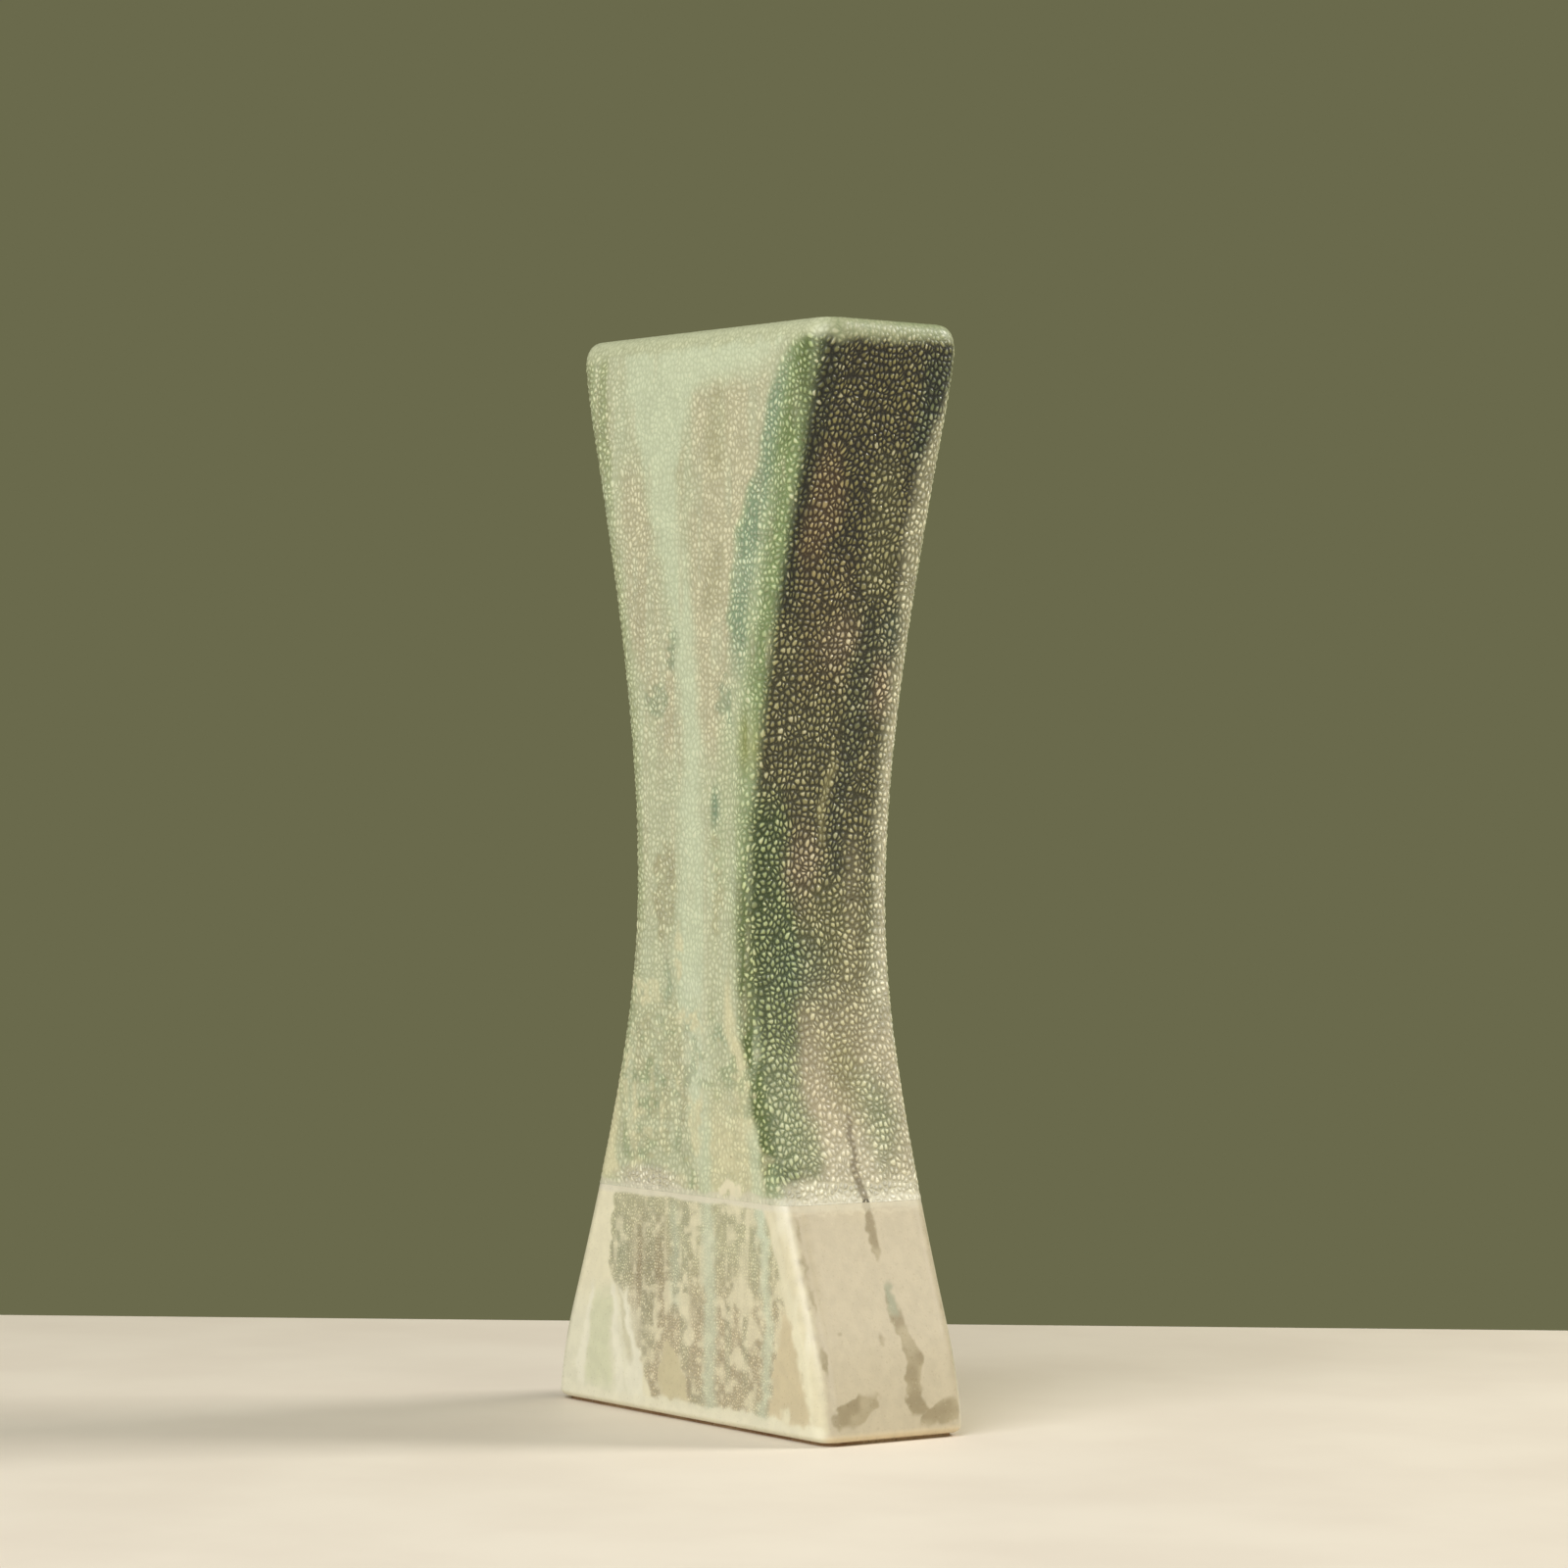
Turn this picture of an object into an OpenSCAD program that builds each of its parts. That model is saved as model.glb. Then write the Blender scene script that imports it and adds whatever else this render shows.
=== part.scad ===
// A tall vase in slab-built stoneware: a flattened hourglass of constant depth.
// Four mitred wall slabs stand on a base slab, soft coils fill the seams inside,
// and three coats of glaze cover the clay. The mouth is open from wall to wall.
// +Z is up, the origin is the middle of the foot's underside, and the wide faces
// look along -Y and +Y.

/* [Outline] */
// Height from the table to the rim
height = 300; // [260:5:340]
// Width of the wide faces at their narrowest point
waist_w = 57; // [50:1:70]
// Height of the narrowest point
waist_z = 145; // [120:1:180]
// Sideways run of the sides for each millimetre of rise, far above the waist
upper_flare = 0.34; // [0.25:0.005:0.4]
// The same far below the waist
lower_flare = 0.435; // [0.3:0.005:0.48]
// How far the foot is drawn in from that flare
foot_tuck = 4.6; // [0:0.2:6]
// Height over which the foot is drawn in
foot_h = 28; // [15:1:50]
// Front to back depth, the same at every height
depth = 49.5; // [44:0.5:60]
// Radius of the four upright arrises
arris_r = 6; // [5.8:0.1:8]
// How much wider the arrises are rounded where they meet the rim
rim_soften = 3.5; // [0:0.5:3.5]
// Height over which they widen to that
soften_h = 24; // [10:1:40]

/* [Clay] */
// Thickness of the wall slabs
wall = 7; // [6:0.5:9]
// Thickness of the base slab
base_t = 9; // [7:0.5:12]
// Radius of the soft coils pressed into the inside seams
coil_r = 5; // [3:0.5:6]
// Rounding of the rim on its outer edge, measured inwards
rim_r = 4; // [3:0.1:4]
// Height of that rounding
rim_h = 7; // [3:0.1:8]
// Rounding of the rim on its inner edge
lip_r = 1.5; // [1:0.1:1.5]
// Rounding of the clay along the foot
foot_r = 2; // [1:0.1:3]
// Height of the bare, set-in foot below the glaze
bare_foot = 0.8; // [0.8:0.1:3]

/* [Glaze] */
// Thickness of the smooth base glaze under the beads
base_glaze_t = 0.5; // [0.3:0.05:0.6]
// Thickness of the beaded glaze over it
bead_glaze_t = 0.5; // [0.3:0.05:0.6]
// How far the thicker base glaze below the dip line stays behind the beads
gloss_step = 0.2; // [0.15:0.05:0.25]
// Thickness of both coats together where they thin over the rim
rim_glaze_t = 0.5; // [0.4:0.05:0.6]
// Thickness of the liner glaze inside
liner_t = 0.5; // [0.4:0.05:0.8]
// Height of the dip line, where the beaded glaze ends
dip_z = 62.5; // [40:0.5:100]
// Height over which the beaded glaze thins towards the dip line
dip_feather = 4; // [2:0.5:8]

/* [Hidden] */

corner_steps = 4;            // straight pieces in each rounded corner
corner_step = 90 / corner_steps;
side_steps = 19;             // levels between the floor coil and the rim
arc_steps = 5;               // straight pieces in the rim and the floor fillet
arc_step = 90 / arc_steps;
least_r = 0.3;               // sharpest corner of a glaze coat
coil_edge = 0.2;             // thickness of the floor coil at its feathered top
feather_t = 0.1;             // thickness of the beaded glaze at the dip line

coat = base_glaze_t + bead_glaze_t;
inner = coat + wall;         // inset of the clay's inside face
lip_inset = inner - lip_r;   // inset where the rim's inner rounding begins
clay_top = height - rim_glaze_t;
rim_z = clay_top - rim_h;    // where the outer rounding of the rim begins
lip_z = clay_top - lip_r;    // where the inner rounding begins
floor_coil_z = base_t + coil_r;

BACK_RIGHT = 0;
BACK_LEFT = 1;
FRONT_LEFT = 2;
FRONT_RIGHT = 3;

// ---- Outline -------------------------------------------------------------

// Half the width of the outermost glaze surface at height z: a hyperbola about
// the waist, drawn in at the foot.
function half_w(z) =
    norm([waist_w / 2, (z > waist_z ? upper_flare : lower_flare) * (z - waist_z)])
    - foot_tuck * pow(max(0, 1 - z / foot_h), 2);

// Radius of the outermost surface's corners at height z, wider towards the rim.
function outer_r(z) = arris_r + rim_soften * pow(max(0, 1 - (height - z) / soften_h), 2);

// Corner radius of the surface that lies inset millimetres inside the outermost
// one: it shrinks through the coats and the rim, and opens again over the coils.
function corner_r(inset, z) =
    let (lip_corner_r = max(least_r, outer_r(z) - lip_inset))
    inset < lip_inset ? max(least_r, outer_r(z) - inset)
    : inset < inner ? lip_corner_r + (coil_r - lip_corner_r) * (inset - lip_inset) / lip_r
    : max(least_r, coil_r - (inset - inner));

function side_x(corner) = (corner == BACK_RIGHT || corner == FRONT_RIGHT) ? 1 : -1;
function side_y(corner) = (corner == BACK_RIGHT || corner == BACK_LEFT) ? 1 : -1;

// The square corner of the plan outline at height z.
function square_corner(corner, z, inset) =
    [side_x(corner) * (half_w(z) - inset), side_y(corner) * (depth / 2 - inset), z];

// One point of the rounded corner: step 0 is its first point counterclockwise.
function corner_point(corner, step, z, inset, r) =
    let (angle = 90 * corner + corner_step * step)
    square_corner(corner, z, inset + r) + r * [cos(angle), sin(angle), 0];

// The whole plan outline at height z, counterclockwise from above.
function ring(level, r = -1) =
    let (z = level[0], inset = level[1], used_r = r < 0 ? corner_r(inset, z) : r)
    [for (corner = [0:3], step = [0:corner_steps]) corner_point(corner, step, z, inset, used_r)];

function backwards(list) = [for (i = [len(list) - 1:-1:0]) list[i]];

// ---- Levels, as [height, inset] pairs from the bottom up --------------------

side_z = [for (i = [0:side_steps]) floor_coil_z + (rim_z - floor_coil_z) * i / side_steps];
rim_arc_z = [for (i = [1:arc_steps]) rim_z + rim_h * sin(arc_step * i)];
wall_z = concat([base_t], side_z, rim_arc_z);
low_z = [for (z = concat([base_t], side_z)) if (z < dip_z - 1) z];
high_z = [for (z = side_z) if (z > dip_z + dip_feather + 1) z];

// How far a quarter round of radius r has come in, rise above its start.
function round_over(r, rise) = rise <= 0 ? 0 : r - sqrt(max(0, r * r - rise * rise));

function clay_outside(z) = coat + rim_r * round_over(1, (z - rim_z) / rim_h);
function clay_inside(z) = inner - round_over(lip_r, z - lip_z);

// The rounded edge of the foot, with extra thickness standing out at its side.
function foot_arc(extra, first = 0) = [
    for (step = [first:corner_steps])
        let (angle = corner_step * step)
        [bare_foot + foot_r * (1 - cos(angle)), coat + foot_r - (foot_r + extra) * sin(angle)]
];

// The rounded rim of a coat that is side_t thick on the wall and top_t on the rim.
function rim_arc(side_t, top_t) = concat(
    [for (step = [1:arc_steps])
        let (angle = arc_step * step)
        [rim_z + (rim_h + top_t) * sin(angle), coat + rim_r - (rim_r + side_t) * cos(angle)]],
    [[clay_top + top_t, lip_inset]]
);

// The fillet between floor and wall, from the floor up, radius r.
function floor_fillet(r) = [
    for (step = [0:arc_steps])
        let (angle = arc_step * step)
        [floor_coil_z - r * cos(angle), inner + coil_edge + coil_r - r * sin(angle)]
];

// The rim's inner rounding on the liner, from the top down.
lip_arc = [
    for (step = [arc_steps:-1:0])
        let (angle = arc_step * step, r = lip_r + liner_t)
        [lip_z + (clay_top + liner_t - lip_z) * sin(angle), lip_inset + r * cos(angle)]
];

bare_clay_levels = concat(
    foot_arc(0, 1),
    [for (z = wall_z) [z, clay_outside(z)]],
    [[clay_top, lip_inset]]
);
high_base_levels = concat(
    [for (z = high_z) [z, bead_glaze_t]],
    rim_arc(base_glaze_t, rim_glaze_t * base_glaze_t / coat)
);
base_feather = [dip_z + dip_feather, bead_glaze_t];
base_at_dip = [dip_z, gloss_step];

// ---- Solids from stacked outlines -------------------------------------------

// Joins outlines of equal length, which run up the outside and down any inside.
// A closed loft joins its last outline to its first, and an open one is capped.
module loft(outlines, closed = false) {
    n = len(outlines[0]);
    m = len(outlines);
    sides = [
        for (i = [0:m - (closed ? 1 : 2)], j = [0:n - 1])
            let (k = (i + 1) % m, next = (j + 1) % n)
            [i * n + j, k * n + j, k * n + next, i * n + next]
    ];
    caps = closed ? [] : [[for (j = [0:n - 1]) j], [for (j = [n - 1:-1:0]) (m - 1) * n + j]];
    polyhedron(points = [for (outline = outlines) each outline], faces = concat(sides, caps));
}

// One wall slab, from the mitre at one corner counterclockwise to the next.
module wall_slab(first, second) {
    half = corner_steps / 2;
    loft([
        for (z = wall_z)
            let (outside = clay_outside(z), r = corner_r(outside, z))
            concat(
                [for (step = [half:corner_steps]) corner_point(first, step, z, outside, r)],
                [for (step = [0:half]) corner_point(second, step, z, outside, r)],
                [square_corner(second, z, clay_inside(z)), square_corner(first, z, clay_inside(z))]
            )
    ]);
}

// The coil that fills one upright seam inside, standing on the floor coil.
module seam_coil(corner) {
    loft([
        for (z = concat(side_z, rim_arc_z))
            let (inset = clay_inside(z), r = corner_r(inset, z))
            concat(
                [corner_point(corner, 0, z, inset, r), square_corner(corner, z, inset)],
                [for (step = [corner_steps:-1:1]) corner_point(corner, step, z, inset, r)]
            )
    ]);
}

// A rounded rectangle with its middle at the origin.
module rounded_plate(half_x, half_y, r) {
    square([2 * half_x, 2 * (half_y - r)], center = true);
    square([2 * (half_x - r), 2 * half_y], center = true);
    for (x = [-1, 1], y = [-1, 1])
        translate([x * (half_x - r), y * (half_y - r)])
            circle(r = r, $fn = 48);
}

// ---- The clay ----------------------------------------------------------------

module base_slab() {
    foot_inset = coat + foot_r;
    color("#b39a78") {
        linear_extrude(height = bare_foot + foot_r / 2)
            rounded_plate(half_w(0) - foot_inset, depth / 2 - foot_inset, arris_r - foot_inset + 1);
        loft([for (level = concat(foot_arc(0), [[base_t, coat]])) ring(level)]);
    }
}

module front_slab() {
    color("#c2ab8a")
        wall_slab(FRONT_LEFT, FRONT_RIGHT);
}

module right_side_slab() {
    color("#bca483")
        wall_slab(FRONT_RIGHT, BACK_RIGHT);
}

module back_slab() {
    color("#c2ab8a")
        wall_slab(BACK_RIGHT, BACK_LEFT);
}

module left_side_slab() {
    color("#bca483")
        wall_slab(BACK_LEFT, FRONT_LEFT);
}

module floor_seam_coil() {
    color("#a98f6c")
        loft(concat(
            [ring([base_t, inner], least_r), ring([floor_coil_z, inner], least_r)],
            [for (level = backwards(floor_fillet(coil_r))) ring(level)]
        ), closed = true);
}

module front_right_seam_coil() {
    color("#a98f6c")
        seam_coil(FRONT_RIGHT);
}

module back_right_seam_coil() {
    color("#a98f6c")
        seam_coil(BACK_RIGHT);
}

module back_left_seam_coil() {
    color("#a98f6c")
        seam_coil(BACK_LEFT);
}

module front_left_seam_coil() {
    color("#a98f6c")
        seam_coil(FRONT_LEFT);
}

// ---- The glaze -----------------------------------------------------------------

// A cup that covers the floor, the coils, the walls and the inner half of the rim.
module liner_glaze() {
    against_clay = concat(
        floor_fillet(coil_r),
        [for (z = concat(side_z, rim_arc_z)) if (z > floor_coil_z) [z, clay_inside(z)]]
    );
    inside = concat(
        lip_arc,
        [for (z = backwards(side_z)) if (z > floor_coil_z) [z, inner + liner_t]],
        backwards(floor_fillet(coil_r - liner_t))
    );
    color("#d9d6bd")
        loft([for (level = concat(against_clay, inside)) ring(level)]);
}

// The smooth coat over the whole outside, thicker below the dip line.
module base_glaze() {
    outside = concat(
        foot_arc(coat - gloss_step, 1),
        [for (z = low_z) [z, gloss_step]],
        [base_at_dip, base_feather],
        high_base_levels
    );
    color("#cdc5a3")
        loft([for (level = concat(outside, backwards(bare_clay_levels))) ring(level)], closed = true);
}

// The beaded coat from the dip line up and over the rim.
module beaded_glaze() {
    outside = concat(
        [[dip_z, gloss_step - feather_t], [dip_z + dip_feather, 0]],
        [for (z = high_z) [z, 0]],
        rim_arc(coat, rim_glaze_t)
    );
    against_base = concat([base_at_dip, base_feather], high_base_levels);
    color("#9dbb97")
        loft([for (level = concat(outside, backwards(against_base))) ring(level)], closed = true);
}

base_slab();
front_slab();
right_side_slab();
back_slab();
left_side_slab();
floor_seam_coil();
front_right_seam_coil();
back_right_seam_coil();
back_left_seam_coil();
front_left_seam_coil();
liner_glaze();
base_glaze();
beaded_glaze();
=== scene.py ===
"""A slab-built stoneware vase with a beaded glaze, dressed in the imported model's frame.

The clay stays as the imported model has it. The three coats of glaze are built here
as finer meshes of the same outline, with their beads as real relief. Lengths are in
millimetres until a mesh, a light or the camera is made. x runs across the wide
faces, y across the narrow ones and z up.
"""

import itertools
import math

import bpy
import numpy as np
from mathutils import Matrix, Vector


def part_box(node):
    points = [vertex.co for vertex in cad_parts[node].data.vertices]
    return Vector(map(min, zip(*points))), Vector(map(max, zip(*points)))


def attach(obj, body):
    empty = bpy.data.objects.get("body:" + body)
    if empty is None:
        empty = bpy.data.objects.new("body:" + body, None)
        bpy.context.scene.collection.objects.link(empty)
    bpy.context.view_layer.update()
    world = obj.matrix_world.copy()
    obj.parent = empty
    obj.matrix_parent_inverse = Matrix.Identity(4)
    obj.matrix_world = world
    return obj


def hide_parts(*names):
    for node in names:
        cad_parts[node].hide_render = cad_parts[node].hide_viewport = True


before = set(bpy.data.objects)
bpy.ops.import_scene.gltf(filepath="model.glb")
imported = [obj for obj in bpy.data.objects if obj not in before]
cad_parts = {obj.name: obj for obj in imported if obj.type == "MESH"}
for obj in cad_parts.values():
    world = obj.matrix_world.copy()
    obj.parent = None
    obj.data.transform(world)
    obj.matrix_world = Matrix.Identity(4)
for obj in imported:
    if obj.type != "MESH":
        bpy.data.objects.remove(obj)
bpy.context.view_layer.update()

MM = 0.001

# ---- Sizes read from the frame ----

bead_low, bead_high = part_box("beaded_glaze")
wall_low, wall_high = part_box("front_slab")

HEIGHT = bead_high.z / MM
HALF_DEPTH = bead_high.y / MM
DIP_Z = bead_low.z / MM     # where the beaded glaze ends
CLAY_TOP = wall_high.z / MM
BASE_TOP = wall_low.z / MM  # top of the base slab

# ---- Outline, with the same driving sizes as the CAD model ----

WAIST_HALF = 28.5     # half width at the narrowest point
WAIST_Z = 145.0
UPPER_FLARE = 0.34    # sideways run for each millimetre of rise above the waist
LOWER_FLARE = 0.435   # the same below it
FOOT_TUCK = 4.6       # how far the foot is drawn in
FOOT_H = 28.0
ARRIS_R = 6.0         # radius of the upright arrises
COIL_R = 5.0          # radius of the inside corners
LEAST_R = 0.3
WALL = 7.0
RIM_SOFTEN = 3.5      # how much wider the arrises are rounded at the rim
SOFTEN_H = 24.0
RIM_R = 4.0
RIM_H = 7.0
LIP_R = 1.5
FOOT_R = 2.0
FOOT_TURN = 67.5      # degrees of the foot's rounding that glaze covers
BARE_FOOT = 0.8
BASE_COAT = 0.5       # thickness of the base glaze under the beads
BEAD_COAT = 0.5       # thickness of the beaded glaze
LINER_COAT = 0.5
GLOSS_STEP = 0.2      # how far the base glaze below the dip line stays behind
FEATHER_H = 4.0       # height over which the beaded glaze thins at the dip line
FEATHER_T = 0.1       # its thickness at the dip line
COIL_EDGE = 0.2

COAT = BASE_COAT + BEAD_COAT
INNER = COAT + WALL
LIP_INSET = INNER - LIP_R
RIM_Z = CLAY_TOP - RIM_H
LIP_Z = CLAY_TOP - LIP_R
FLOOR_COIL_Z = BASE_TOP + COIL_R
RIM_COAT = HEIGHT - CLAY_TOP
FULL_COAT_Z = DIP_Z + FEATHER_H

CORNERS = np.array([(1, 1), (-1, 1), (-1, -1), (1, -1)])  # counterclockwise from the back right


def half_width(z):
    """Half the width of the outermost glaze surface at height z."""
    flare = np.where(z > WAIST_Z, UPPER_FLARE, LOWER_FLARE)
    foot = np.clip(1 - z / FOOT_H, 0, None)
    return np.hypot(WAIST_HALF, flare * (z - WAIST_Z)) - FOOT_TUCK * foot**2


def corner_radius(inset, z):
    """Radius of the upright corners of the surface that lies inset millimetres inside."""
    outermost = ARRIS_R + RIM_SOFTEN * np.clip(1 - (HEIGHT - z) / SOFTEN_H, 0, None) ** 2
    outer = np.maximum(LEAST_R, outermost - inset)
    at_lip = np.maximum(LEAST_R, outermost - LIP_INSET)
    lip = at_lip + (COIL_R - at_lip) * (inset - LIP_INSET) / LIP_R
    inside = np.maximum(LEAST_R, COIL_R - (inset - INNER))
    return np.select([inset < LIP_INSET, inset < INNER], [outer, lip], inside)


def add_object(name, data):
    """Puts a mesh, a light or a camera into the scene."""
    thing = bpy.data.objects.new(name, data)
    bpy.context.scene.collection.objects.link(thing)
    return thing


def make_columns(corner_steps, wide_steps, narrow_steps):
    """Columns round the vase. A row holds the corner's signs and the outward direction."""
    columns = []
    for side, corner in enumerate(CORNERS):
        for step in range(corner_steps):
            turn = math.radians(90 * (side + step / corner_steps))
            columns.append((*corner, math.cos(turn), math.sin(turn)))
        turn = math.radians(90 * (side + 1))
        steps = narrow_steps if side % 2 else wide_steps
        part = np.arange(steps)[:, None] / steps
        for place in corner * (1 - part) + CORNERS[(side + 1) % 4] * part:
            columns.append((*place, math.cos(turn), math.sin(turn)))
    return np.array(columns)


def stack_outlines(levels, columns):
    """Points of the outlines at levels, which are rows of height and inset."""
    z, inset = (part[:, None] for part in np.array(levels, float).T)
    corner_x, corner_y, out_x, out_y = columns.T
    radius = corner_radius(inset, z)
    x = corner_x * (half_width(z) - inset - radius) + out_x * radius
    y = corner_y * (HALF_DEPTH - inset - radius) + out_y * radius
    return np.stack([x, y, np.broadcast_to(z, x.shape)], axis=2)


def loft(name, levels, columns, closed):
    """A mesh over stacked outlines. A closed one joins its last outline to its first."""
    points = stack_outlines(levels, columns)
    rows, count = points.shape[:2]
    row = np.arange(rows if closed else rows - 1)[:, None]
    column = np.arange(count)[None, :]
    above = (row + 1) % rows
    beside = (column + 1) % count
    quads = np.stack([
        row * count + column,
        row * count + beside,
        above * count + beside,
        above * count + column,
    ], axis=2).reshape(-1, 4)
    loops = quads.ravel()
    starts = np.arange(0, len(loops), 4)
    if not closed:
        first_cap = np.arange(count)[::-1]
        last_cap = (rows - 1) * count + np.arange(count)
        starts = np.append(starts, [len(loops), len(loops) + count])
        loops = np.concatenate([loops, first_cap, last_cap])
    mesh = bpy.data.meshes.new(name)
    mesh.vertices.add(rows * count)
    mesh.vertices.foreach_set("co", (points * MM).astype(np.float32).ravel())
    mesh.loops.add(len(loops))
    mesh.loops.foreach_set("vertex_index", loops.astype(np.int32))
    mesh.polygons.add(len(starts))
    mesh.polygons.foreach_set("loop_start", starts.astype(np.int32))
    mesh.update(calc_edges=True)
    mesh.shade_smooth()
    return add_object(name, mesh), points.reshape(-1, 3)


def heights(low, high, step):
    """Evenly spaced heights from low to high, about step apart."""
    return np.linspace(low, high, max(2, round((high - low) / step) + 1))


def arc(middle_z, reach_z, middle_inset, reach_inset, steps, first=90):
    """Levels along an ellipse, from first degrees round it to the level of its middle."""
    turns = np.radians(np.linspace(first, 0, steps + 1))
    return list(zip(middle_z + reach_z * np.sin(turns), middle_inset + reach_inset * np.cos(turns)))


def rim_levels(side_coat, top_coat):
    """The outer half of the rim, rounded from the wall up to its top line."""
    falling = arc(RIM_Z, RIM_H + top_coat, COAT + RIM_R, -RIM_R - side_coat, RIM_STEPS)
    return falling[-2::-1] + [(CLAY_TOP + top_coat, LIP_INSET)]


def foot_levels(side_coat):
    """The rounded foot, from the edge of the bare clay up to the wall."""
    return arc(BARE_FOOT + FOOT_R, -FOOT_R, COAT + FOOT_R, -FOOT_R - side_coat, FOOT_STEPS, FOOT_TURN)


def fillet_levels(radius):
    """The rounding between the floor and the walls inside, from the floor up."""
    return arc(FLOOR_COIL_Z, -radius, INNER + COIL_EDGE + COIL_R, -radius, FILLET_STEPS)


def lip_levels(side_coat, top_coat, steps):
    """The inner half of the rim, rounded from its top line down to the inside wall."""
    return arc(LIP_Z, LIP_R + top_coat, LIP_INSET, LIP_R + side_coat, steps)


# ---- Random values, all from fixed seeds ----


def random_at(cell, seed):
    """A repeatable random value from 0 to 1 for each row of whole numbers."""
    key = cell.astype(np.int64) @ np.array([73856093, 19349663, 83492791])
    key = (key + seed * 2654435761) & 0xFFFFFFFF
    for _ in range(2):
        key = ((key ^ (key >> 16)) * 73244475) & 0xFFFFFFFF
    key = key ^ (key >> 16)
    return (key & 0xFFFFFF) / 0xFFFFFF


def mottle(points, size, seed):
    """Smooth random values from -1 to 1 that change over about size millimetres."""
    place = points / size
    cell = np.floor(place)
    part = place - cell
    part = part * part * (3 - 2 * part)
    total = np.zeros(len(points))
    for corner in itertools.product((0, 1), repeat=3):
        near = np.array(corner)
        weight = np.where(near, part, 1 - part).prod(axis=1)
        total += weight * random_at(cell + near, seed)
    return 2 * total - 1


# ---- Masks for painting glaze ----


def fade(low, high, value):
    """0 at low and before it, 1 at high and past it, and smooth between."""
    part = np.clip((value - low) / (high - low), 0, 1)
    return part * part * (3 - 2 * part)


def run(across, z, path, edge):
    """A run of glaze along path, with rows of height, middle and half width from the top down."""
    z_down, middle, half = np.array(path, float).T
    centre = np.interp(z, z_down[::-1], middle[::-1])
    reach = np.interp(z, z_down[::-1], half[::-1])
    beside = fade(-edge, edge, reach - np.abs(across - centre))
    top = fade(z_down[0] + 2 * edge, z_down[0] - 2 * edge, z)
    bottom = fade(z_down[-1] - 2 * edge, z_down[-1] + 2 * edge, z)
    return beside * top * bottom


def spot(across, z, middle, height, half_across, half_z, softness=0.5):
    """A rounded patch of glaze about a point."""
    reach = np.hypot((across - middle) / half_across, (z - height) / half_z)
    return fade(1 + softness, 1 - softness, reach)


def linear(colour):
    """A colour given as 0-255 display values, in the linear values that shaders use."""
    value = np.array(colour, float) / 255
    return np.where(value <= 0.04045, value / 12.92, ((value + 0.055) / 1.055) ** 2.4)


# The rows of a look's values.
BEAD, GROUND, GAP, RELIEF = slice(0, 3), slice(3, 6), 6, 7


class Look:
    """How a coat looks at each of its points.

    GAP is the share of ground that shows between the beads, and RELIEF the depth of the
    gaps in millimetres. A beaded glaze is a pair of colours, its beads and its ground. A
    smooth one is a single colour. across and z are where runs and spots are measured.
    """

    def __init__(self, across, z, glaze, gap=None, relief=None):
        self.across = across
        self.z = z
        self.values = np.zeros((8, len(z)))
        self.lay(1.0, glaze, gap, relief)

    def lay(self, mask, glaze, gap=None, relief=None):
        """Lays another glaze where the mask is 1. What isn't given stays as it was."""
        smooth = len(glaze) == 3
        if smooth:
            glaze, gap, relief = (glaze, glaze), 0.0, 0.0
        for row, wanted in enumerate((*linear(glaze[0]), *linear(glaze[1]), gap, relief)):
            if wanted is not None:
                self.values[row] += mask * (wanted - self.values[row])

    def run(self, weight, path, edge, *glaze):
        """Lays a glaze along a run. A weight of 1 hides what is under it."""
        self.lay(weight * run(self.across, self.z, path, edge), *glaze)

    def spot(self, weight, place, *glaze):
        """The same for a spot, whose place is its middle, half sizes and softness."""
        self.lay(weight * spot(self.across, self.z, *place), *glaze)


# ---- Colours, as display values ----

# Beaded glazes: the colour of the beads, then of the ground between them.
MINT = (203, 207, 174), (176, 181, 145)
PALE_MINT = (206, 214, 182), (184, 193, 159)
ROSE_BEIGE = (209, 206, 173), (178, 174, 140)
TAN = (197, 195, 160), (168, 164, 127)
PALE_GREEN = (200, 209, 168), (154, 170, 130)
SAGE = (192, 203, 161), (142, 158, 118)
TEAL = (182, 197, 162), (122, 146, 116)
OLIVE = (168, 183, 132), (114, 133, 82)
DARK_OLIVE = (146, 161, 108), (87, 101, 55)
YELLOW_GREEN = (158, 163, 98), (126, 132, 66)
LEFT_OLIVE = (190, 197, 156), (152, 160, 118)
BUTTER = (219, 215, 176), (204, 199, 159)
FOREST = (174, 184, 130), (86, 101, 52)
STONE = (206, 206, 167), (178, 178, 139)
FROSTED = (226, 222, 198), (204, 199, 170)
RIM_EDGE = (200, 204, 168), (172, 176, 138)

# The same on the narrow faces, where thin glaze lets the dark body through.
BRONZE = (128, 122, 74), (23, 21, 8)
NIGHT_TEAL = (104, 114, 80), (14, 24, 13)
MOSS = (82, 86, 48), (20, 24, 8)
AMBER = (166, 149, 106), (64, 46, 22)
UMBER = (150, 137, 92), (50, 41, 18)
PINK_BEIGE = (200, 185, 150), (84, 71, 48)
SLATE = (172, 175, 143), (54, 66, 48)
FIR = (152, 166, 112), (46, 64, 26)
PINE_BLUE = (146, 162, 124), (38, 60, 38)
SHALE = (178, 175, 130), (86, 85, 48)
WHEAT = (178, 174, 130), (112, 106, 64)
SAGE_STONE = (184, 189, 149), (100, 112, 73)
OAT = (204, 194, 163), (160, 149, 119)
# Pale beads along the far arris, partly a painted highlight.
EDGE_OAT_AND_HIGHLIGHT = (220, 217, 186), (152, 150, 118)
NARROW_RIM = (166, 170, 134), (140, 146, 109)
NARROW_RIM_GREEN = (148, 158, 118), (112, 124, 88)
# A painted highlight line down the far arris.
ARRIS_HIGHLIGHT = (230, 226, 198), (182, 175, 146)
DRIP = (158, 147, 118), (112, 102, 77)

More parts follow.
